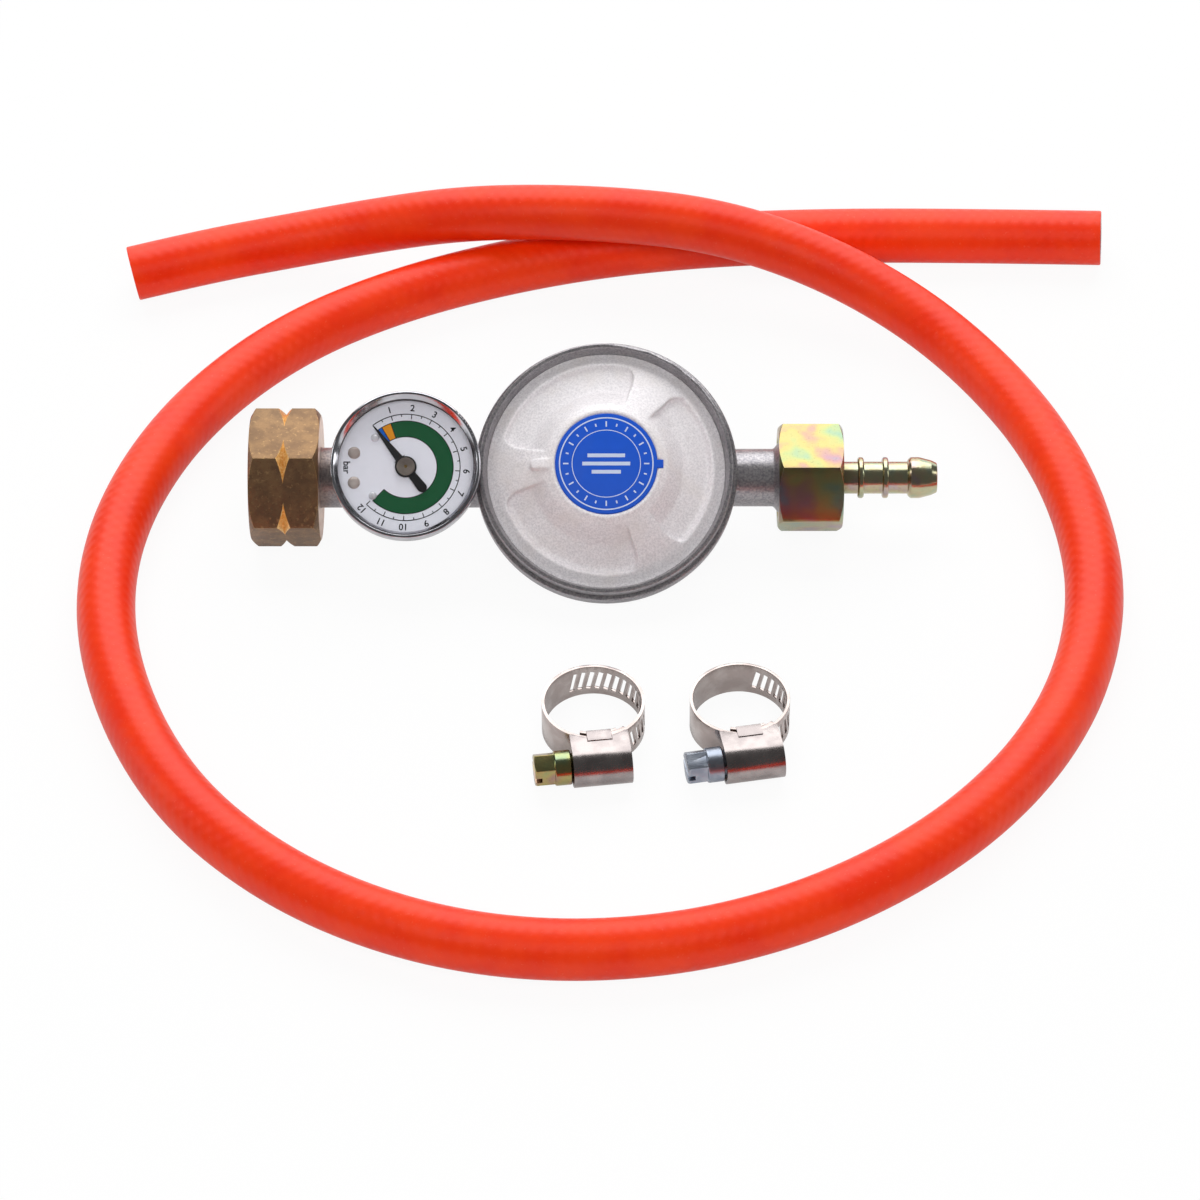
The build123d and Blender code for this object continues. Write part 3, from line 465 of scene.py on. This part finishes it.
def dash(name, long, wide, place):
    bpy.ops.object.select_all(action="DESELECT")
    bpy.ops.mesh.primitive_plane_add(size=1)
    mark = bpy.context.object
    mark.name = name
    mark.data.transform(place @ Matrix.Diagonal((long * mm, wide * mm, 1, 1)))
    return mark


def polarPlace(radius, angle, turn=0.0):
    spin = Matrix.Rotation(math.radians(angle), 4, "Z")
    return spin @ Matrix.Translation((radius * mm, 0, 0)) @ Matrix.Rotation(math.radians(turn), 4, "Z")


def numeral(body, size, place):
    bpy.ops.object.select_all(action="DESELECT")
    bpy.ops.object.text_add()
    word = bpy.context.object
    word.data.body = body
    word.data.size = size * mm
    word.data.align_x = "CENTER"
    word.data.align_y = "CENTER"
    word.data.offset = prints["letterBold"] * mm
    bpy.ops.object.convert(target="MESH")
    word.data.transform(place)
    return word


def joined(name, pieces):
    alone(pieces[0])
    for piece in pieces[1:]:
        piece.select_set(True)
    bpy.ops.object.join()
    pieces[0].name = name
    return pieces[0]


def printed(piece, height, place, finish):  # raised from its underside at that height
    editAll(piece)
    bpy.ops.mesh.remove_doubles(threshold=prints["weld"])
    bpy.ops.object.mode_set(mode="OBJECT")
    for face in piece.data.polygons:
        if face.normal.z < 0:
            face.flip()
    piece.data.update()
    applyModifier(piece, "SOLIDIFY", thickness=prints["thick"] * mm, offset=1.0)
    piece.data.transform(place @ Matrix.Translation((0, 0, height * mm)))
    piece.data.materials.append(looks[finish])
    return piece


# regulator body, cover and label
casting = {"edge": 0.25, "edgeAngle": 34.0, "voxel": 0.36, "softening": 3, "coverAngle": 50.0}


def dressCasting():
    reskin("body_casting", "regulator", "cast_arms", ["arms", "edge"], casting["edge"],
           casting["edgeAngle"], 1)
    cover = formOf("diaphragm_cover", ["cover"])
    applyModifier(cover, "REMESH", mode="VOXEL", voxel_size=casting["voxel"] * mm)
    applyModifier(cover, "SMOOTH", factor=0.5, iterations=casting["softening"])
    smoothed(cover, casting["coverAngle"])
    dress(cover, "regulator", "cast_cover", "diaphragm_cover")


label = {
    "edge": 0.1, "edgeAngle": 40.0, "top": 17.0,
    "rings": ((11.2, 0.3), (8.2, 0.18)),  # radius and width of line
    "dashes": 24, "dashR": 9.7, "dashLong": 1.3, "dashShort": 0.7, "dashWide": 0.35,
    "bars": ((9.0, 2.0), (11.5, 0.0), (7.0, -2.0)),  # length and height above the middle
    "barWide": 0.9,
}


def dressLabel():
    reskin("label_disc", "regulator", "label_blue", ["label"], label["edge"], label["edgeAngle"])
    marks = []
    for radius, width in label["rings"]:
        marks.append(flatArc("labelRing", radius - width / 2, radius + width / 2, 0, 360))
    for index in range(label["dashes"]):
        long = label["dashLong"] if index % 2 == 0 else label["dashShort"]
        at = polarPlace(label["dashR"], index * 360 / label["dashes"])
        marks.append(dash("labelDash", long, label["dashWide"], at))
    for long, across in label["bars"]:
        marks.append(dash("labelBar", long, label["barWide"], Matrix.Translation((0, across * mm, 0))))
    ink = printed(joined("labelMarks", marks), label["top"], leaned, "labelInk")
    dress(ink, "regulator", "label_blue")


dressCasting()
dressLabel()
print("casting, cover and label dressed")

# the dial's print: twelve steps clockwise from zero, and a band in three colours inside the scale
dial = {
    "top": 12.5, "zero": 128.0, "step": -22.0, "steps": 12,
    "scaleR": 13.05, "line": 0.22, "tickLong": 1.15, "tickShort": 0.6,
    "numberR": 14.55, "numberSize": 2.2, "unitR": 14.3, "unitSize": 2.3,
    "bandIn": 7.5, "bandOut": 11.4, "bandLine": 0.2, "bandEndLine": 0.18,
    "bandEnd": 226.0, "greenStart": 109.0, "orangeEnd": 121.0, "blueEnd": 126.0, "inkLift": 0.02,
}


def scaleMarks():
    radius, line = dial["scaleR"], dial["line"]
    full = dial["zero"] + dial["steps"] * dial["step"]
    marks = [flatArc("scaleArc", radius - line / 2, radius + line / 2, full, dial["zero"])]
    for half in range(2 * dial["steps"] + 1):
        long = dial["tickLong"] if half % 2 == 0 else dial["tickShort"]
        at = polarPlace(radius - long / 2, dial["zero"] + half * dial["step"] / 2)
        marks.append(dash("tick", long, line, at))
    for hour in range(1, dial["steps"] + 1):
        at = polarPlace(dial["numberR"], dial["zero"] + hour * dial["step"], -90)
        marks.append(numeral(str(hour), dial["numberSize"], at))
    return marks


def bandMarks():
    inner, outer, line = dial["bandIn"], dial["bandOut"], dial["bandLine"]
    marks = []
    for radius in (inner, outer):
        marks.append(flatArc("bandLine", radius - line / 2, radius + line / 2,
                             dial["bandEnd"] - 360, dial["blueEnd"]))
    for angle in (dial["bandEnd"], dial["greenStart"], dial["orangeEnd"], dial["blueEnd"]):
        at = polarPlace((inner + outer) / 2, angle)
        marks.append(dash("bandEnd", outer - inner, dial["bandEndLine"], at))
    return marks


def printDial():
    marks = scaleMarks() + bandMarks()
    marks.append(numeral("bar", dial["unitSize"], polarPlace(dial["unitR"], 180, -270)))
    ink = printed(joined("dialMarks", marks), dial["top"] + dial["inkLift"], atGauge, "ink")
    dress(ink, "regulator", "pointer_black")
    edges = (dial["bandEnd"] - 360, dial["greenStart"], dial["orangeEnd"], dial["blueEnd"])
    for name, start, end in zip(("green", "orange", "blue"), edges, edges[1:]):
        arc = flatArc(name + "Band", dial["bandIn"], dial["bandOut"], start, end)
        dress(printed(arc, dial["top"], atGauge, name), "regulator", "dial_white")


def reshape(piece, frameOf, change):  # each vertex moved in the piece's own axes, in millimetres
    back = frameOf.inverted()
    for vertex in piece.data.vertices:
        vertex.co = frameOf @ (change((back @ vertex.co) / mm) * mm)
    piece.data.update()


case = {"edge": 0.1, "inward": -0.5}


def dressCase():  # bright outside; the inside walls dark brown as painted shade
    piece = formOf("gauge_case", ["chrome", "casePaintedShade"], case["edge"])
    axis = (atGauge.to_3x3() @ Vector((0, 0, 1))).normalized()
    for face in piece.data.polygons:
        out = face.center - atGauge.translation
        out -= axis * out.dot(axis)
        # faces turned in towards the gauge's axis get the dark brown of painted shade
        if face.normal.dot(out.normalized()) < case["inward"]:
            face.material_index = 1
    dress(piece, "regulator", "chrome_steel", "gauge_case")


bezel = {"edge": 0.15, "sight": 16.7, "sink": 0.5, "lipDeep": 0.35, "smooth": 22.0}


def dressBezel():
    piece = formOf("gauge_bezel", ["chrome"], bezel["edge"])
    back = atGauge.inverted()
    highest = max((back @ vertex.co).z for vertex in piece.data.vertices) / mm

    def sunkLip(at):  # the lip slopes in towards the glass
        if at.z > highest - bezel["lipDeep"] and math.hypot(at.x, at.y) < bezel["sight"]:
            at.z -= bezel["sink"]
        return at

    applyModifier(piece, "TRIANGULATE")
    reshape(piece, atGauge, sunkLip)
    smoothed(piece, bezel["smooth"])
    dress(piece, "regulator", "chrome_steel", "gauge_bezel")


needle = {
    "edge": 0.05, "hubEdge": 0.15, "rest": 128.0,
    "tailFrom": -4.2, "tailReach": 1.45,         # the tail's round end moves out
    "boss": 2.4, "widen": 1.7, "length": 12.0,   # the blade is wider at its boss than at its tip
}


def fullNeedle(at):
    if at.x < needle["tailFrom"]:
        at.x -= needle["tailReach"]
    elif at.x > needle["boss"]:
        share = (at.x - needle["boss"]) / needle["length"]
        at.y *= needle["widen"] + (1.0 - needle["widen"]) * min(1.0, share)
    return at


def dressNeedle():
    piece = formOf("pointer", ["needle"], needle["edge"])
    reshape(piece, atGauge @ Matrix.Rotation(math.radians(needle["rest"]), 4, "Z"), fullNeedle)
    dress(piece, "pointer", "pointer_black", "pointer")
    reskin("pointer_hub", "pointer", "spring_steel", ["hub"], needle["hubEdge"])


dome = {"screwHigh": 0.6, "pinHigh": 0.9, "foot": 0.02, "segments": 40, "rings": 20, "smooth": 40.0}


def domed(node, slot, finish, high):  # half an egg standing on the dial, as wide as its CAD node
    low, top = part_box(node)
    radius = (top.x - low.x) / 2
    bpy.ops.object.select_all(action="DESELECT")
    bpy.ops.mesh.primitive_uv_sphere_add(segments=dome["segments"], ring_count=dome["rings"], radius=radius)
    piece = bpy.context.object
    piece.name = node + "Dome"
    editAll(piece)
    bpy.ops.mesh.bisect(plane_co=(0, 0, dome["foot"] * mm), plane_no=(0, 0, 1), use_fill=True,
                        clear_inner=True)
    bpy.ops.object.mode_set(mode="OBJECT")
    at = atGauge.inverted() @ middle(node)
    squat = Matrix.Diagonal((1, 1, high * mm / radius, 1))
    piece.data.transform(atGauge @ Matrix.Translation((at.x, at.y, dial["top"] * mm)) @ squat)
    piece.data.materials.append(looks[finish])
    smoothed(piece, dome["smooth"])
    dress(piece, "regulator", slot, node)


reskin("gauge_lens", "regulator", "lens_glass", ["glass"], case["edge"])
reskin("gauge_dial", "regulator", "dial_white", ["dial"])
for end in ("upper", "lower"):
    domed("dial_screw_" + end, "spring_steel", "screw", dome["screwHigh"])
for end in ("zero", "full"):
    domed("stop_pin_" + end, "black_plastic", "clearPin", dome["pinHigh"])
dressCase()
dressBezel()
dressNeedle()
printDial()
print("gauge dressed")

# inlet nut: worn edges, bright where its corners are nicked, turned faces at its ends and in its bore
nut = {"edge": 0.4, "edgeAngle": 24.0, "endFacing": 0.95, "nickFacing": 0.25, "nickHalf": 2.2,
       "nickFrom": 15.0, "boreTo": 12.0}


def dressNut():
    piece = formOf("inlet_nut", ["brass", "brassWorn", "brassTurned"], nut["edge"], nut["edgeAngle"], 1)
    centre = middle("inlet_nut")
    for face in piece.data.polygons:
        radius = math.hypot(face.center.y - centre.y, face.center.z - centre.z) / mm
        inNick = abs(face.center.x - centre.x) < nut["nickHalf"] * mm and radius > nut["nickFrom"]
        facing = abs(face.normal.x)
        if facing > nut["endFacing"]:
            face.material_index = 2
        elif inNick and facing > nut["nickFacing"]:
            face.material_index = 1
        elif radius < nut["boreTo"]:
            face.material_index = 2
    dress(piece, "inlet_nut", "brass_aged", "inlet_nut")


dressNut()

# union nut with paler edges, and the ribbed tail
union = {"nutEdge": 0.35, "nutAngle": 24.0, "ribEdge": 0.12, "ribAngle": 34.0}
reskin("outlet_nut", "outlet_nut", "zinc_yellow", ["yellow", "zinc"], union["nutEdge"], union["nutAngle"], 1)
reskin("hose_tail", "regulator", "zinc_yellow", ["tailYellowPaintedSheen"], union["ribEdge"], union["ribAngle"])
print("unions dressed")

# clamps: band, saddle, housing and worm screw, each pair alike but for the screws' plating
clamp = {"edge": 0.07, "housingEdge": 0.8, "edgeAngle": 34.0,
         "screws": (("left", "yellow", "zinc_yellow"), ("right", "screwZinc", "zinc_steel"))}
for side, plating, screwSlot in clamp["screws"]:
    named = f"clamp_{side}_"
    for part in ("band", "saddle"):
        reskin(named + part, "regulator", "stainless", ["stainless"], clamp["edge"], clamp["edgeAngle"])
    reskin(named + "housing", "regulator", "stainless", ["housing"], clamp["housingEdge"], clamp["edgeAngle"])
    reskin(named + "screw", named + "screw", screwSlot, [plating], clamp["edge"], clamp["edgeAngle"])
print("clamps dressed")

# pieces that keep their own form, by finish
kept = {
    "rubber": ["diaphragm", "valve_pad", "inlet_gasket", "outlet_gasket", "gauge_seal"],
    "brassBright": ["diaphragm_stem", "valve_slider", "valve_seat", "inlet_nipple", "inlet_filter",
                    "gauge_stem", "movement_block", "bourdon_tube", "sector_gear", "pinion_arbor"],
    "spring": ["main_spring", "lever_pin"],
    "zinc": ["diaphragm_plate", "valve_lever"],
    "plug": ["adjusting_plug"],
}
for finish, nodes in kept.items():
    for node in nodes:
        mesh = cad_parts[node].data
        mesh.materials.clear()
        mesh.materials.append(looks[finish])
print("inner pieces painted")

# hose: one tube along a line of points, open at both ends
hose = {
    "radius": 7.0,
    "bore": 4.0,
    "length": 989.0,
    "step": 2.4,       # between rings
    "sides": 48,
    "edge": 0.35,      # rounding of the cut ends
    "edgeShare": 0.3,  # where the rounding's middle ring stands
    "skin": 0.5,       # thickness of the coloured skin in the cut ends
    "lining": 2.4,     # from the bore to the middle ring of the cut ends
    "cuts": ((0.0, 0.129, -0.135), (0.0, 0.069, -0.072)),  # slopes of the end cuts, off square
    "uvAlong": 20,     # the UV map's turns per metre
    "smooth": 40.0,
    "route": [
        (-118.2, 115.75, 7), (-99.75, 122.4, 7), (-77.65, 126.95, 8.4), (-55.65, 127.75, 13),
        (-35.65, 125.35, 18.8), (-15.65, 122.75, 22), (6.35, 121.35, 22.2), (27.35, 119.55, 20.8),
        (47.55, 115.3, 17.2), (67.2, 107.5, 12.6), (84.9, 94.7, 9), (99.5, 76.7, 7.4),
        (111.3, 54.9, 7), (118.75, 29.35, 7), (120.85, 1.35, 7), (115.15, -26.65, 7),
        (103.65, -50.45, 7), (87.55, -70.55, 7), (68.05, -86.75, 7), (45.35, -99.45, 7),
        (20.35, -107.45, 7), (-6.65, -109.95, 7), (-32.65, -106.45, 7), (-56.65, -97.15, 7),
        (-77.35, -83.35, 7), (-95.95, -63.65, 7), (-109.45, -37.75, 7), (-117.15, -8.65, 7),
        (-116.75, 20.35, 7), (-108.35, 48.25, 7), (-94.35, 72.05, 7), (-74.85, 92.45, 7),
        (-51.45, 106.95, 7), (-25.65, 117.35, 7), (1.35, 124.65, 7), (31.35, 128.95, 7),
        (64.35, 130.45, 7), (98.35, 130.25, 7), (130.65, 129.45, 7)],
}


def routeCurve():  # the smooth line near the route's points, as many short steps
    curve = bpy.data.curves.new("hoseLine", "CURVE")
    curve.dimensions = "3D"
    line = curve.splines.new("NURBS")
    line.points.add(len(hose["route"]) - 1)
    for point, place in zip(line.points, hose["route"]):
        point.co = (*(Vector(place) * mm), 1.0)
    line.order_u = 3
    line.use_endpoint_u = True
    line.resolution_u = 16
    holder = bpy.data.objects.new("hoseLine", curve)
    bpy.context.collection.objects.link(holder)
    bpy.context.view_layer.update()
    traced = bpy.data.meshes.new_from_object(holder)
    dense = [vertex.co.copy() for vertex in traced.vertices]
    bpy.data.objects.remove(holder)
    bpy.data.meshes.remove(traced)
    return dense


def evenLine(dense, step):  # the same line with points at even distances
    travelled = [0.0]
    for one, two in zip(dense, dense[1:]):
        travelled.append(travelled[-1] + (two - one).length)
    count = round(travelled[-1] / step)
    even, at = [], 0
    for index in range(count + 1):
        goal = travelled[-1] * index / count
        while at < len(dense) - 2 and travelled[at + 1] < goal:
            at += 1
        share = (goal - travelled[at]) / (travelled[at + 1] - travelled[at])
        even.append(dense[at].lerp(dense[at + 1], min(1.0, share)))
    return even


def framesAlong(line):  # place, direction and a sideways vector that doesn't twist
    runs = [(two - one).normalized() for one, two in zip(line, line[1:])]
    ahead = [runs[0]] + [(one + two).normalized() for one, two in zip(runs, runs[1:])] + [runs[-1]]
    side = ahead[0].cross(Vector((0, 0, 1))).normalized()
    frames = []
    for index, forward in enumerate(ahead):
        if index:
            side = (side - forward * side.dot(forward)).normalized()
        frames.append((line[index], forward, side.copy()))
    return frames


def hoseMesh(line):
    frames = framesAlong(line)
    outer, bore, ease = hose["radius"] * mm, hose["bore"] * mm, hose["edge"] * mm
    skinFoot, liningEnd = outer - hose["skin"] * mm, bore + hose["lining"] * mm
    sides, share = hose["sides"], hose["edgeShare"]
    skinSlot, cutSlot, boreSlot = range(3)
    vertices, faces, slots, uvs = [], [], [], []
    loops = []  # first vertex, distance along, material slot of the band that follows

    def ring(centre, forward, across, radius, along, slot, cut=Vector((0, 0, 0))):
        up = across.cross(forward)
        loops.append((len(vertices), along, slot))
        for step in range(sides):
            angle = 2 * math.pi * step / sides
            reach = (across * math.cos(angle) + up * math.sin(angle)) * radius
            vertices.append(centre + reach + forward * reach.dot(cut))

    startCut, endCut = (Vector(cut) for cut in hose["cuts"])
    centre, forward, across = frames[0]
    outward = ((bore, cutSlot), (liningEnd, cutSlot), (skinFoot, skinSlot), (outer - ease, skinSlot))
    for radius, slot in outward:
        ring(centre, forward, across, radius, 0.0, slot, startCut)
    ring(centre + forward * ease * share, forward, across, outer - ease * share, 0.0, skinSlot, startCut)
    ring(centre + forward * ease, forward, across, outer, 0.0, skinSlot, startCut)
    travelled = 0.0
    for index in range(1, len(line) - 1):
        travelled += (line[index] - line[index - 1]).length
        ring(*frames[index], outer, travelled, skinSlot)
    travelled += (line[-1] - line[-2]).length
    centre, forward, across = frames[-1]
    ring(centre - forward * ease, forward, across, outer, travelled, skinSlot, endCut)
    ring(centre - forward * ease * share, forward, across, outer - ease * share, travelled, skinSlot, endCut)
    inward = ((outer - ease, skinSlot), (skinFoot, cutSlot), (liningEnd, cutSlot), (bore, boreSlot))
    for radius, slot in inward:
        ring(centre, forward, across, radius, travelled, slot, endCut)
    for index in range(len(line) - 2, 0, -1):
        ring(*frames[index], bore, travelled, boreSlot)

    for (one, uOne, slot), (two, uTwo, _) in zip(loops, loops[1:] + loops[:1]):
        for step in range(sides):
            after = (step + 1) % sides
            faces.append((one + step, one + after, two + after, two + step))
            slots.append(slot)
            uvs += [(uOne, step / sides), (uOne, (step + 1) / sides),
                    (uTwo, (step + 1) / sides), (uTwo, step / sides)]
    mesh = bpy.data.meshes.new("hoseTube")
    mesh.from_pydata(vertices, [], faces)
    mesh.update()
    layer = mesh.uv_layers.new(name="UVMap")
    for loop, (along, around) in zip(layer.data, uvs):
        loop.uv = (along * hose["uvAlong"], around)
    return mesh, slots


def makeHose(*finishes):
    line = evenLine(routeCurve(), hose["step"] * mm)
    mesh, slots = hoseMesh(line)
    tube = bpy.data.objects.new("hoseTube", mesh)
    bpy.context.collection.objects.link(tube)
    for finish in finishes:
        mesh.materials.append(finish)
    for face, slot in zip(mesh.polygons, slots):
        face.material_index = slot
    smoothed(tube, hose["smooth"])
    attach(tube, "regulator")
    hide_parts("hose")


def hoseSkinLook():  # orange rubber: the braid under the skin shows as a faint cross ripple
    look = Look("hoseSkin")
    along, around = look.parts(look.place("UV"))[:2]
    turns = 2 * math.pi
    one = (along * (16.0 * turns) + around * (9 * turns)).math("SINE")
    two = (along * (16.0 * turns) - around * (9 * turns)).math("SINE")
    ripple = one + two
    soft = look.noise(look.place(), 60.0, 3.0, 0.6)
    dust = look.noise(look.place(), 1400.0, 2.0, 0.6).smooth(0.62, 0.78)
    colour = look.mix(soft.smooth(0.3, 0.7), srgb(238, 46, 3), srgb(247, 60, 6))
    colour = look.mix(dust * 0.15, colour, srgb(255, 150, 120))
    return look.finish(Base_Color=colour, Roughness=soft * 0.1 + 0.35, Specular_IOR_Level=0.3,
                       Coat_Weight=0.05, Coat_Roughness=0.2,
                       Normal=look.bump(ripple * 0.5 + soft * 2.0, 0.06, 0.6))


def hoseCutLook():  # the cut end: pale fibre round a dark bore
    look = Look("hoseCut")
    fibre = look.noise(look.place(), 2600.0, 3.0, 0.7)
    colour = look.mix(fibre.smooth(0.35, 0.65), srgb(150, 130, 132), srgb(238, 232, 236))
    return look.finish(Base_Color=colour, Roughness=0.85, Normal=look.bump(fibre, 0.2, 0.8))


makeHose(hoseSkinLook(), hoseCutLook(), plainLook("hoseBore", srgb(26, 22, 24), 0.6))
print("hose laid")
